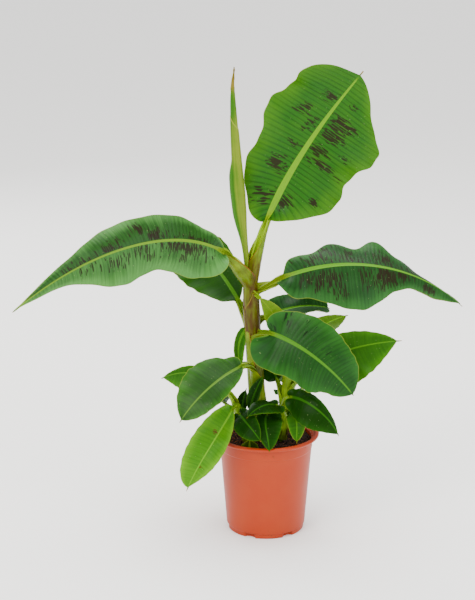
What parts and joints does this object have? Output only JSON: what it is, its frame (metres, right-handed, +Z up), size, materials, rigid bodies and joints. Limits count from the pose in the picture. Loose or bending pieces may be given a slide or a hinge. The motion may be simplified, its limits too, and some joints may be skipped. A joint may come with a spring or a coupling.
{
  "type": "potted banana plant",
  "caption": "Young dwarf banana plant with a leaning pseudostem, a rolled new leaf, broad blotched leaves and suckers, in a terracotta-coloured plastic nursery pot.",
  "frame": {"origin": "centre of the pot's flat underside", "axes": "+Z up, +X to the right and +Y to the back as seen in the picture; the front is -Y"},
  "size_m": [0.7677, 0.4266, 0.8445],
  "materials": {
    "pot": "semi-matte terracotta-coloured polypropylene",
    "soil": "matte crumbly peat",
    "stem": "satin leaf sheaths, yellow-green to maroon-brown",
    "new_leaf": "satin rolled leaf, yellow-green",
    "leaf": "satin leaf with a soft waxy sheen"
  },
  "bodies": {
    "root": {"pot": "pot", "potting_soil": "soil", "pseudostem": "stem", "left_sucker": "stem", "right_sucker": "stem", "rolled_leaf": "new_leaf", "leaf_tall": "leaf", "leaf_left": "leaf", "leaf_right": "leaf", "leaf_back_left": "leaf", "leaf_back_right": "leaf", "leaf_back": "leaf", "leaf_young": "leaf", "leaf_front_right": "leaf", "leaf_front_left": "leaf", "leaf_narrow": "leaf", "left_sucker_leaf_hanging": "leaf", "left_sucker_leaf_side": "leaf", "left_sucker_leaf_back": "leaf", "left_sucker_leaf_front": "leaf", "left_sucker_leaf_upright": "leaf", "right_sucker_leaf_side": "leaf", "right_sucker_leaf_back": "leaf", "right_sucker_leaf_inner": "leaf", "right_sucker_leaf_low": "leaf", "right_sucker_leaf_crossing": "leaf", "right_sucker_leaf_front": "leaf", "right_sucker_leaf_small": "leaf", "right_sucker_leaf_rim": "leaf", "shoot_tall": "leaf", "shoot_low": "leaf"}
  },
  "joints": []
}
